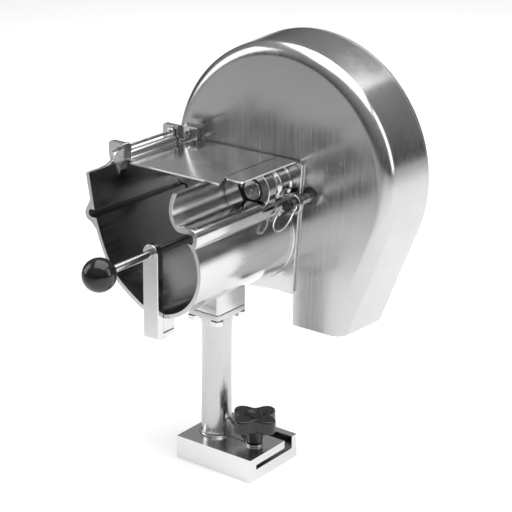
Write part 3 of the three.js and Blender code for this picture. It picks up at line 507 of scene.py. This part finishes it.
def make_trough():
    body = prism("hopper_trough_fine", ribbon(INNER, 0, TROUGH_WALL), "Y", TROUGH_FRONT, TROUGH_BACK)
    cut(body, block("t", -60, 60, -90, 90, TROUGH_TOP, 340))
    round_edges(body, 0.7, 3, 60)
    rails = (
        prism("t", LEFT_SWELL, "Y", TROUGH_FRONT, TROUGH_BACK),
        prism("t", right_rail(RAIL_RISE), "Y", TROUGH_FRONT, 28.2),
        prism("t", right_rail(BOSS_RISE), "Y", 27.2, TROUGH_BACK))
    for rail in rails:
        round_edges(rail, 0.9, 3, 60)
        cut(rail, prism("t", INNER, "Y", -100, 100))
    low = INNER[1:90]
    collar = prism("t", ribbon(low, 1, TROUGH_WALL + 3), "Y", TROUGH_BACK - 4.5, TROUGH_BACK)
    round_edges(collar, 1.2, 4, 50)
    pad = prism("t", head_outline(), "Z", HEAD_HIGH + GAP, 215)
    round_edges(pad, 0.8, 3, 50)
    cut(pad, prism("t", offset_path(INNER, 1), "Y", -100, 100))
    ear = ear_block("t", EAR_FRONT, -25)
    cut(ear, rod("t", 2.1, "Y", -40, -20, PIN_X, PIN_Z, sides=24))
    rise = [(-62 + 25.5 * t, TROUGH_TOP + 11.6 * t ** 3.2) for t in (k / 16 for k in range(17))]
    sweep = prism("t", [(-62, TROUGH_TOP - 3)] + rise + [(-35.5, rise[-1][1]), (-35.5, TROUGH_TOP - 3)],
                  "X", -135.7, -131.9)
    round_edges(sweep, 0.6, 3, 50)
    lug = block("t", BAR_X - 9.2, BAR_X + 9.2, TROUGH_FRONT, -63, 162.8, 190, 1.2)
    cut(lug, prism("t", offset_path(INNER, 1), "Y", -100, 100))
    join(body, *rails, collar, pad, ear, sweep, lug)
    cut(body,
        groove(RAIL_LEFT, -110, RAIL_LEFT_LOW), groove(-30, RAIL_RIGHT, RAIL_LOW),
        *[rod("t", BOLT_HOLE, "Z", 165, 177.4, x, y, sides=24) for x, y in bolt_places()],
        rod("t", BAR_BOLT_HOLE, "Z", 150, 179, BAR_X, BAR_BOLT_Y, sides=24))
    return finish_piece(body, "frame", "trough_aluminium", TROUGH, "hopper_trough")


# ------------------------------------------------------------------ plate and boss
PLATE_OUTLINE = [(-135, 160), (-46, 164.2), (14, 169.7), (23, 314.6), (21.5, 316), (-135, 316)]


def shrink(points, inset):
    xs, zs = [p[0] for p in points], [p[1] for p in points]
    mx, mz = (min(xs) + max(xs)) / 2, (min(zs) + max(zs)) / 2
    kx, kz = 1 - 2 * inset / (max(xs) - min(xs)), 1 - 2 * inset / (max(zs) - min(zs))
    return [(mx + (x - mx) * kx, mz + (z - mz) * kz) for x, z in points]


def window_plug(inset, y0, y1):
    plug = prism("t", shrink(PLATE_OUTLINE, inset), "Y", y0, y1)
    return boolean(plug, [rod("t", 132 - inset, "Y", y0, y1, COVER_X, COVER_Z, sides=160)], "INTERSECT")


def make_plate():
    plate = prism("front_plate_fine", PLATE_OUTLINE, "Y", PLATE_FRONT, PLATE_BACK)
    round_edges(plate, 0.5, 3, 40)
    join(plate, window_plug(8.4, PLATE_BACK - 1, PAD_BACK))
    throat = [(-130.6, 309)] + [p for p in INNER if p[1] < 308.9]
    cut(plate,
        prism("t", throat, "Y", 70, 100),
        rod("t", 11.5, "Y", 70, 95, SHAFT_X, SHAFT_Z),
        rod("t", LATCH_HOLE, "Y", 70, 95, LATCH_X, LATCH_Z))
    return finish_piece(plate, "frame", "plate_aluminium", PLATE, "front_plate")


def make_boss():
    profile = [
        (0, 32.2), (22, 32.2), (22, 45), (18.4, 49.5), (16.8, 53), (16.8, 55), (19, 56.6), (19.8, 59), (19, 61.4),
        (17, 63), (16.8, 75.5), (19, 78.2), (0, 78.2),
    ]
    boss = lathe("shaft_boss_fine", softened(profile, 1.0), "Y", SHAFT_X, SHAFT_Z, 128)
    web = prism("t", [(-7, 290), (5, 290.5), (11, 285.5), (15.5, 285.4), (22.5, 276), (12, 266.5), (-7, 272)],
                "Y", 62, 68)
    round_edges(web, 0.8, 3, 50)
    eye = lathe("t", softened([(0, 62), (11.3, 62), (11.3, 68), (0, 68)], 1.0), "Y", LATCH_X, LATCH_Z, 64)
    join(boss, web, eye)
    rail = prism("t", right_rail(BOSS_RISE, GAP), "Y", 20, 90)
    crease = block("t", -30, SHAFT_X - 0.5, 20, 90, 262, 283)
    skin = prism("t", offset_path(INNER, TROUGH_WALL + GAP), "Y", 20, 90)
    cut(boss, rail, skin, crease, rod("t", 13.3, "Y", 20, 90, SHAFT_X, SHAFT_Z, sides=96),
        rod("t", LATCH_HOLE, "Y", 50, 90, LATCH_X, LATCH_Z))
    return finish_piece(boss, "frame", "trough_aluminium", TROUGH, "shaft_boss")


def make_bush(name, y0, y1):
    ring = lathe(name, softened([(0, y0), (13, y0), (13, y1), (0, y1)], 0.5), "Y", SHAFT_X, SHAFT_Z, 96)
    cut(ring, rod("t", SHAFT_HOLE, "Y", y0 - 5, y1 + 5, SHAFT_X, SHAFT_Z, sides=96))
    return ring


# ------------------------------------------------------------------ ledge, lid and hinge
def make_ledge():
    outline = [(-8.3, -10), (-3.6, -16), (14.6, -16), (15.8, -14.8), (15.8, 78.2), (-8.3, 78.2)]
    ledge = prism("top_ledge_fine", outline, "Z", LID_LOW, LID_HIGH)
    round_edges(ledge, 0.35, 3, 40)
    return finish_piece(ledge, "frame", "plate_aluminium", LID, "top_ledge")


def make_lid():
    outline = [
        (-117, -34), (0.5, -34), (-5.2, -16.8), (-10, -10.2), (-10, 77.6), (-112, 77.6), (-112, 51), (-126, 51),
        (-126, -24), (-117, -24),
    ]
    sheet = prism("lid_fine", outline, "Z", LID_LOW, LID_HIGH)
    round_edges(sheet, 0.35, 3, 40)
    roll = lathe("t", softened([(0, -24), (5.3, -24), (5.3, 51), (0, 51)], 0.6), "Y", -128, 321.7, 64)
    tab = [(-132.5, 321.7), (-123.5, 321.7), (-125.6, 328)]
    tab += arc(PIN_X, PIN_Z, 4.4, 0, 180, 20) + [(-134.2, 328)]
    tabs = [prism("t", tab, "Y", -24, -20.6), prism("t", tab, "Y", 47.6, 51)]
    for each in tabs:
        round_edges(each, 0.4, 2, 50)
    join(sheet, roll, *tabs)
    cut(sheet, rod("t", PIN_HOLE, "Y", -30, 60, PIN_X, PIN_Z, sides=32))
    return finish_piece(sheet, "lid", "plate_aluminium", LID, "lid")


def make_bracket():
    ear = ear_block("hinge_bracket_fine", 52, 62)
    tab = prism("t", round_rect(-140, 316.3, -114.5, 331, 3), "Y", TAB_FRONT, TAB_BACK)
    round_edges(tab, 0.7, 3, 50)
    join(ear, tab, block("t", -138, -118.5, 58, TAB_FRONT + 1, 316.3, 321.4, 0.7))
    cut(ear, block("t", -160, -100, 40, 90, 280, 316.3), rod("t", PIN_HOLE, "Y", 40, 70, PIN_X, PIN_Z, sides=32),
        rod("t", SCREW_HOLE, "Y", 70, 90, SCREW_X, SCREW_Z, sides=24))
    return finish_piece(ear, "frame", "plate_aluminium", PLATE, "hinge_bracket")


# ------------------------------------------------------------------ guide bar and pusher
def make_bar():
    half = 9.75
    outline = [(BAR_X - half, 157.5), (BAR_X + half, 157.5)] + arc(BAR_X, ROD_Z, half, 0, 180, 36)
    bar = prism("guide_bar_fine", outline, "Y", -91, -82)
    round_edges(bar, 1.0, 4, 50)
    foot = block("t", BAR_X - 9.15, BAR_X + 9.15, -84, -63.4, 157.5, 162.5, 0.7)
    join(bar, foot)
    cut(bar, rod("t", ROD_HOLE, "Y", -95, -78, BAR_X, ROD_Z), rod("t", BAR_BOLT_HOLE, "Z", 150, 165, BAR_X, BAR_BOLT_Y))
    return finish_piece(bar, "frame", "plate_aluminium", PLATE, "guide_bar")


def make_ball():
    profile = [(0 if abs(x) < 1e-6 else x, y) for x, y in arc(0, BALL_Y, BALL_R, -90, 90, 48)]
    ball = lathe("pusher_ball_fine", profile, "Y", BAR_X, ROD_Z, 96)
    collar = softened([(0, -153), (6.6, -153), (6.6, -148.9), (0, -148.9)], 0.6)
    join(ball, lathe("t", collar, "Y", BAR_X, ROD_Z, 64))
    cut(ball, rod("t", ROD_HOLE, "Y", -160.1, -120, BAR_X, ROD_Z))
    return finish_piece(ball, "pusher", "gloss_black", BLACK_GLOSS, "pusher_ball", angle=40)


def make_rod():
    bar = rod("pusher_rod_fine", 4.4, "Y", -159.6, 70.6, BAR_X, ROD_Z, 0.6, 64)
    return finish_piece(bar, "pusher", "steel", STEEL, "pusher_rod")


def make_pusher_plate():
    path = [p for p in offset_path([q for q in INNER if q[1] < 277.5], -1.4) if p[1] < 276]
    outline = path + [(-26.5, 277.4), (-60, 282), (-100, 282), (-122, 277.4)]
    plate = prism("pusher_plate_fine", outline, "Y", 66, 76)
    round_edges(plate, 0.8, 3, 50)
    join(plate,
         prism("t", round_rect(RAIL_LEFT + SLACK, RAIL_LEFT_LOW + SLACK, -105, RAIL_HIGH - SLACK, 3.1), "Y", 66, 76),
         prism("t", round_rect(-35, RAIL_LOW + SLACK, RAIL_RIGHT - SLACK, RAIL_HIGH - SLACK, 3.1), "Y", 66, 76),
         lathe("t", softened([(0, 57), (10, 57), (10, 68), (0, 68)], 1.2), "Y", BAR_X, ROD_Z))
    cut(plate, rod("t", ROD_HOLE, "Y", 40, 71, BAR_X, ROD_Z))
    return finish_piece(plate, "pusher", "arm_aluminium", ARM, "pusher_plate")


# ------------------------------------------------------------------ blade housing
def cover_outline(radius, drop):
    fx, fz = 79 - (COVER_R_BACK - radius) - 0.39 * drop, 130.4 - drop
    reach = hypot(fx - COVER_X, fz - COVER_Z)
    tangent = degrees(atan2(fz - COVER_Z, fx - COVER_X) + acos(radius / reach))
    end = 180 + degrees(asin((COVER_Z - 166) / COVER_R_BACK))
    rim = arc(COVER_X, COVER_Z, radius, tangent, end, 180)
    return [(fx, fz)] + rim + [(rim[-1][0], 165 - drop), (12.2 - drop, 165 - drop), (11.8 - drop, 130.4 - drop)]


def cover_blank(inset, y1, drop):
    """The housing's outer or inner skin as a closed lofted body."""
    r, start, steps = COVER_FILLET - inset, COVER_FRONT + inset, 14
    sections = []

    def drafted(y):
        return COVER_R_FRONT + (COVER_R_BACK - COVER_R_FRONT) * (y - COVER_FRONT) / (COVER_BACK - COVER_FRONT)

    for i in range(steps + 1):
        a = i / steps * pi / 2
        y = start + r * (1 - cos(a))
        sections.append((y, cover_outline(drafted(y) - inset - r * (1 - sin(a)), drop)))
    sections.append((y1, cover_outline(drafted(y1) - inset, drop)))
    count = len(sections[0][1])
    verts = [(x, y, z) for y, points in sections for x, z in points]
    faces = [tuple(range(count)), tuple(range(len(verts) - count, len(verts)))]
    for s in range(len(sections) - 1):
        for i in range(count):
            j = (i + 1) % count
            faces.append((s * count + i, s * count + j, (s + 1) * count + j, (s + 1) * count + i))
    return new_object("cover", verts, faces)


def cover_screws():
    angles = [radians(a) for a in (15, 75, 135, 195)]
    places = [(COVER_X + COVER_SCREW_R * cos(a), COVER_Z + COVER_SCREW_R * sin(a)) for a in angles]
    return places + [(79.8, 146)]


def make_housing():
    shell = cover_blank(0, COVER_BACK, 0)
    shell.name = "blade_housing_fine"
    cut(shell, cover_blank(COVER_WALL, COVER_BACK + 5, 12))
    for x, z in cover_screws():
        post = rod("t", 5.6, "Y", 128, COVER_BACK, x, z, sides=32)
        join(shell, boolean(post, [cover_blank(1, COVER_BACK, 0)], "INTERSECT"))
    cut(shell,
        window_plug(8, 70, 86.3),
        block("t", -200, 12.2, 70, 160, 100, 166),
        rod("t", LATCH_HOLE, "Y", 70, 100, LATCH_X, LATCH_Z),
        rod("t", SCREW_HOLE, "Y", 70, 88, SCREW_X, SCREW_Z, sides=24),
        *[rod("t", COVER_SCREW_HOLE, "Y", 132, 151, x, z, sides=24) for x, z in cover_screws()])
    return finish_piece(shell, "frame", "housing_aluminium", HOUSING, "blade_housing")


def make_rear_plate():
    sheet = prism("rear_plate_fine", cover_outline(COVER_R_BACK, 0), "Y", 150.3, 153.8)
    round_edges(sheet, 0.5, 3, 40)
    hub = lathe("t", softened([(0, 152.8), (24, 152.8), (20, 155.8), (18, 160.2), (0, 160.2)], 1.4), "Y",
                SHAFT_X, SHAFT_Z, 96)
    join(sheet, hub)
    cut(sheet,
        block("t", -200, 12.2, 140, 160, 100, 166),
        rod("t", 12, "Y", 140, 170, SHAFT_X, SHAFT_Z),
        *[rod("t", COVER_SCREW_HOLE, "Y", 140, 160, x, z, sides=24) for x, z in cover_screws()])
    return finish_piece(sheet, "frame", "housing_aluminium", HOUSING, "rear_plate")


# ------------------------------------------------------------------ rotor, in the crank's own frame
def to_crank(obj):
    """Turns a piece from the crank's own frame, whose X runs along the arm, into the row frame."""
    turn = Matrix.Rotation(radians(-CRANK_ANGLE), 4, "Y")
    move = Matrix.Translation(Vector((SHAFT_X, 0, SHAFT_Z)) * MM)
    obj.data.transform(move @ turn)
    return obj


BLADE_TURNS = (90 - CRANK_ANGLE, 270 - CRANK_ANGLE)


def spun(obj, turn):
    obj.data.transform(Matrix.Rotation(radians(-turn), 4, "Y"))
    return obj


def make_disc():
    disc = lathe("cutting_disc_fine", softened([(0, 90), (126, 90), (126, 94), (0, 94)], 0.6), "Y", 0, 0, 192)
    tools = [rod("t", SHAFT_HOLE, "Y", 80, 100, 0, 0)]
    for turn in BLADE_TURNS:
        tools.append(spun(prism("t", round_rect(30, -6, 116, 8, 3), "Y", 80, 100), turn))
        tools += [spun(rod("t", SCREW_HOLE, "Y", 80, 100, x, -13, sides=24), turn) for x in (45, 100)]
    tools += [spun(rod("t", SCREW_HOLE, "Y", 80, 100, 20.4, 0, sides=24), turn) for turn in (60, 180, 300)]
    cut(disc, *tools)
    round_edges(disc, 0.3, 2, 50)
    return finish_piece(to_crank(disc), "rotor", "disc_steel", DISC, "cutting_disc")


def make_hub():
    profile = [(0, 94.3), (24.6, 94.3), (24.6, 99), (16.4, 99), (16.4, 112), (0, 112)]
    hub = lathe("disc_hub_fine", softened(profile, 0.8), "Y", 0, 0, 96)
    cut(hub, rod("t", SHAFT_HOLE, "Y", 80, 120, 0, 0),
        *[spun(rod("t", SCREW_HOLE, "Y", 80, 120, 20.4, 0, sides=24), turn) for turn in (60, 180, 300)],
        rod("t", 2.8, "Z", 5, 30, 0, 106.5, sides=24))
    return finish_piece(to_crank(hub), "rotor", "arm_aluminium", ARM, "disc_hub")


def make_blade(number, turn):
    outline = [(26, -20), (112, -20), (120, -14), (120, 1), (26, 1)]
    blade = prism(f"blade_{number}_fine", outline, "Y", 88.2, 89.7)
    wedge = prism("t", [(88, 1.5), (88, -4), (88.2, -4), (89.4, 1.5)], "X", 10, 130)
    cut(blade, wedge, *[rod("t", SCREW_HOLE, "Y", 80, 100, x, -13, sides=24) for x in (45, 100)])
    round_edges(blade, 0.15, 2, 50)
    return finish_piece(to_crank(spun(blade, turn)), "rotor", "blade_steel", BLADE, f"blade_{number}")


def make_shaft():
    profile = [(0, 31.5), (10.5, 31.5), (10.5, 148), (8, 148), (8, 169.5), (6, 169.5), (6, 181), (0, 181)]
    shaft = lathe("main_shaft_fine", softened(profile, 0.9), "Y", 0, 0, 96)
    cut(shaft, lathe("t", [(0, 30), (2.4, 30), (0, 33.4)], "Y", 0, 0, 32))
    return finish_piece(to_crank(shaft), "rotor", "steel", STEEL, "main_shaft")


def make_arm():
    outline = arc(0, 0, 13, 98, 262, 48) + arc(CRANK_R, 0, 9.5, -82, 82, 36)
    arm = prism("crank_arm_fine", outline, "Y", 161.5, 170)
    round_edges(arm, 1.6, 5, 50)
    cut(arm, rod("t", 8.3, "Y", 150, 175, 0, 0), rod("t", 4.3, "Y", 150, 175, CRANK_R, 0))
    return finish_piece(to_crank(arm), "rotor", "arm_aluminium", ARM, "crank_arm")


def make_nut():
    nut = prism("crank_nut_fine", arc(0, 0, 10.4, 0, 300, 5), "Y", 170.3, 180)
    turned = [(0, 170.3), (9.4, 170.3), (11, 171.3), (11, 178.6), (9.3, 180), (0, 180)]
    boolean(nut, [lathe("t", turned, "Y", 0, 0)], "INTERSECT")
    dome = [(0, 178), (8.4, 178), (8.4, 181)]
    dome += [(8.4 * cos(a * pi / 20), 181 + 6 * sin(a * pi / 20)) for a in range(1, 10)]
    join(nut, lathe("t", dome + [(0, 187)], "Y", 0, 0))
    cut(nut, rod("t", 6.3, "Y", 160, 181.6, 0, 0))
    return finish_piece(to_crank(nut), "rotor", "steel", STEEL, "crank_nut")


def make_axle():
    axle = rod("grip_axle_fine", 4, "Y", 162, 232, CRANK_R, 0, 0.4)
    join(axle, rod("t", 6.5, "Y", 170.3, 172.3, CRANK_R, 0, 0.4), rod("t", 6.6, "Y", 229, 233, CRANK_R, 0, 0.7))
    cut(axle, block("t", CRANK_R - 5, CRANK_R + 5, 231.8, 234, -0.6, 0.6))
    return finish_piece(to_crank(axle), "rotor", "steel", STEEL, "grip_axle")


def make_grip():
    profile = [
        (0, 173), (10, 173), (11.6, 175), (12.4, 193), (13.6, 214.5), (14, 231), (13.2, 235.6), (11, 238.8), (8, 240),
        (0, 240),
    ]
    grip = lathe("crank_grip_fine", softened(profile, 4.0, 6), "Y", CRANK_R, 0, 96)
    cut(grip, rod("t", 4.3, "Y", 160, 250, CRANK_R, 0), rod("t", 7, "Y", 228.6, 245, CRANK_R, 0, 0.5))
    return finish_piece(to_crank(grip), "grip", "grip_white", WHITE_GRIP, "crank_grip", angle=40)


# ------------------------------------------------------------------ cover pin and pull ring
def make_pin():
    y = 52.5
    pin = lathe("cover_pin_fine", softened(
        [(0, y + 3), (3, y + 3), (3, y + 6.4), (5.2, y + 6.4), (5.2, 84.5), (3.2, 86.5), (0, 86.5)], 0.3), "Y",
        LATCH_X, LATCH_Z, 64)
    cut(pin, rod("t", 1.2, "X", 10, 35, 60.4, LATCH_Z, sides=24))
    finish_piece(pin, "latch", "steel", STEEL, "cover_pin")
    cap = softened([(0, y), (6.4, y), (6.4, y + 6), (0, y + 6)], 1.3)
    cap = lathe("pin_cap_fine", cap, "Y", LATCH_X, LATCH_Z, 64)
    cut(cap, rod("t", 3.3, "Y", y + 2.6, y + 8, LATCH_X, LATCH_Z))
    return finish_piece(cap, "latch", "satin_black", BLACK_SATIN, "pin_cap", angle=40)


def wire(curve, points, closed):
    spline = curve.splines.new("BEZIER")
    spline.bezier_points.add(len(points) - 1)
    spline.use_cyclic_u = closed
    for knot, place in zip(spline.bezier_points, points):
        knot.co = place * MM
        knot.handle_left_type = "AUTO"
        knot.handle_right_type = "AUTO"


def make_ring():
    """The wire loop, and the short coil where its end wraps round its own neck."""
    lean, hole = Vector((0, -0.74, -0.67)), Vector((LATCH_X, 60.4, LATCH_Z))
    half = [(5, 0), (8, 1.2), (8.4, 5), (8, 9), (8.4, 14), (8.6, 20), (7.2, 27), (4, 32)]
    sides = [(0, 0), *half, (0, 34), *[(-side, along) for side, along in half[::-1]]]
    curve = bpy.data.curves.new("pull_ring_fine", "CURVE")
    curve.dimensions = "3D"
    curve.bevel_depth = 0.9 * MM
    curve.bevel_resolution = 5
    curve.resolution_u = 10
    wire(curve, [hole + lean * along + Vector((side, 0, 0)) for side, along in sides], True)
    across = lean.cross(Vector((1, 0, 0)))
    coil = []
    for k in range(17):
        a = k * pi / 2
        bend = Vector((1.7 * cos(a), 0, 0)) + across * (1.7 * sin(a))
        coil.append(hole + Vector((-8.2, 0, 0)) + lean * (11.2 + 0.3 * k) + bend)
    wire(curve, coil, False)
    ring = bpy.data.objects.new("pull_ring_fine", curve)
    bpy.context.scene.collection.objects.link(ring)
    curve.materials.append(STEEL)
    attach(ring, "ring")
    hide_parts("pull_ring")
    return ring


# ------------------------------------------------------------------ build everything
make_base()
make_knob()
make_leg()
for index, (bx, by) in enumerate(bolt_places(), 1):
    bolt = f"saddle_bolt_{index}"
    hex_bolt(bolt + "_fine", bx, by, HEAD_LOW - 5.8, HEAD_LOW - GAP, 12.6, 4, 177, bolt)
make_trough()
make_plate()
make_boss()
finish_piece(make_bush("front_bush_fine", 32.8, 48), "frame", "black_bush", BLACK_BUSH, "front_bush")
finish_piece(make_bush("rear_bush_fine", 58, 78), "frame", "black_bush", BLACK_BUSH, "rear_bush")
make_ledge()
make_lid()
make_bracket()
make_bar()
hex_bolt("bar_bolt_fine", BAR_X, BAR_BOLT_Y, 151.2, 157.2, 10, 3, 178, "bar_bolt")
make_ball()
make_rod()
make_pusher_plate()
make_housing()
make_rear_plate()
make_disc()
make_hub()
for index, blade_turn in enumerate(BLADE_TURNS, 1):
    make_blade(index, blade_turn)
make_shaft()
make_arm()
make_nut()
make_axle()
make_grip()
make_pin()
make_ring()

# The small turned and threaded pieces keep their CAD shape and get a finish.
KEPT = {"shaft_rear_bush": BRONZE}
for node_name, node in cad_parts.items():
    if node.hide_render:
        continue
    node.data.materials.clear()
    node.data.materials.append(KEPT.get(node_name, STEEL))
    node.data.shade_smooth()
    node.data.set_sharp_from_angle(angle=radians(35))


# ------------------------------------------------------------------ studio
def make_floor():
    """White paper round the object, fading to grey on the left, where the polished faces mirror it."""
    bpy.ops.mesh.primitive_plane_add(size=12, location=(0, 1.5, 0))
    floor = bpy.context.object
    floor.name = "floor"
    g = Graph("floor_paper")
    place = g.add("ShaderNodeNewGeometry").outputs["Position"]

    def along(direction):
        node = g.add("ShaderNodeVectorMath", operation="DOT_PRODUCT")
        g.link(place, node.inputs[0])
        node.inputs[1].default_value = direction
        return node.outputs["Value"]

    across = along((0.679, 0.762, 0))
    paper = g.add("ShaderNodeMix", data_type="RGBA")
    g.link(g.spread(across, 0.0, 1.0, -0.75, -0.36), paper.inputs["Factor"])
    paper.inputs["A"].default_value = (0.42, 0.42, 0.42, 1)
    tone = g.noise(g.place, 3.0, 2.0, 0.5)
    g.link(g.ramp(tone, [(0.2, grey(0.9)), (0.8, grey(0.93))]), paper.inputs["B"])
    g.link(paper.outputs["Result"], g.shader.inputs["Base Color"])
    g.link(paper.outputs["Result"], g.shader.inputs["Emission Color"])
    g.shader.inputs["Emission Strength"].default_value = 0.3
    g.shader.inputs["Roughness"].default_value = 0.9
    floor.data.materials.append(g.material)


def area_light(name, place, target, width, height, power):
    data = bpy.data.lights.new(name, "AREA")
    data.shape = "RECTANGLE"
    data.size = width
    data.size_y = height
    data.energy = power
    light = bpy.data.objects.new(name, data)
    bpy.context.scene.collection.objects.link(light)
    light.location = place
    light.rotation_euler = (Vector(target) - Vector(place)).to_track_quat("-Z", "Y").to_euler()
    return light


def make_world():
    world = bpy.data.worlds.new("studio")
    bpy.context.scene.world = world
    world.use_nodes = True
    tree = world.node_tree
    place = tree.nodes.new("ShaderNodeTexCoord")
    split = tree.nodes.new("ShaderNodeSeparateXYZ")
    ramp = tree.nodes.new("ShaderNodeValToRGB")
    tree.links.new(place.outputs["Generated"], split.inputs[0])
    tree.links.new(split.outputs["Z"], ramp.inputs["Fac"])
    elements = ramp.color_ramp.elements
    for position, value in ((0.0, 0.12), (0.12, 0.16), (0.3, 0.6), (0.6, 0.9), (1.0, 0.7)):
        if position in (0.0, 1.0):
            # By the time of 1.0, element 1 is the one made for 0.12. The picture was matched with it so.
            element = elements[int(position)]
        else:
            element = elements.new(position)
        element.position = position
        element.color = (value, value, value, 1)
    tree.links.new(ramp.outputs["Color"], tree.nodes["Background"].inputs["Color"])
    tree.nodes["Background"].inputs["Strength"].default_value = 0.8


def make_camera():
    azimuth, elevation, roll = radians(37.0), radians(20.0), radians(0.5)
    data = bpy.data.cameras.new("camera")
    data.sensor_width = 36.0
    data.lens = 36.0 * 1710 / 512
    data.shift_x = (256 - 242) / 512
    data.shift_y = (255 - 256) / 512
    camera = bpy.data.objects.new("camera", data)
    bpy.context.scene.collection.objects.link(camera)
    right = Vector((cos(azimuth), sin(azimuth), 0))
    back = Vector((sin(azimuth) * cos(elevation), -cos(azimuth) * cos(elevation), sin(elevation)))
    up = back.cross(right)
    side = cos(roll) * right + sin(roll) * up
    top = -sin(roll) * right + cos(roll) * up
    basis = Matrix((side, top, back)).transposed().to_4x4()
    camera.matrix_world = Matrix.Translation((1.0039, -1.3259, 0.8374)) @ basis
    bpy.context.scene.camera = camera


make_floor()
area_light("top_soft", (0.2, 0.4, 2.2), (0, 0.3, 0.1), 2.6, 2.6, 58)
area_light("left_soft", (-1.5, -0.7, 0.9), (0, 0, 0.25), 0.9, 1.3, 9)
area_light("right_soft", (1.5, 0.6, 0.9), (0, 0.1, 0.25), 0.7, 1.3, 7)
make_world()
make_camera()
bpy.context.scene.view_settings.view_transform = "Standard"
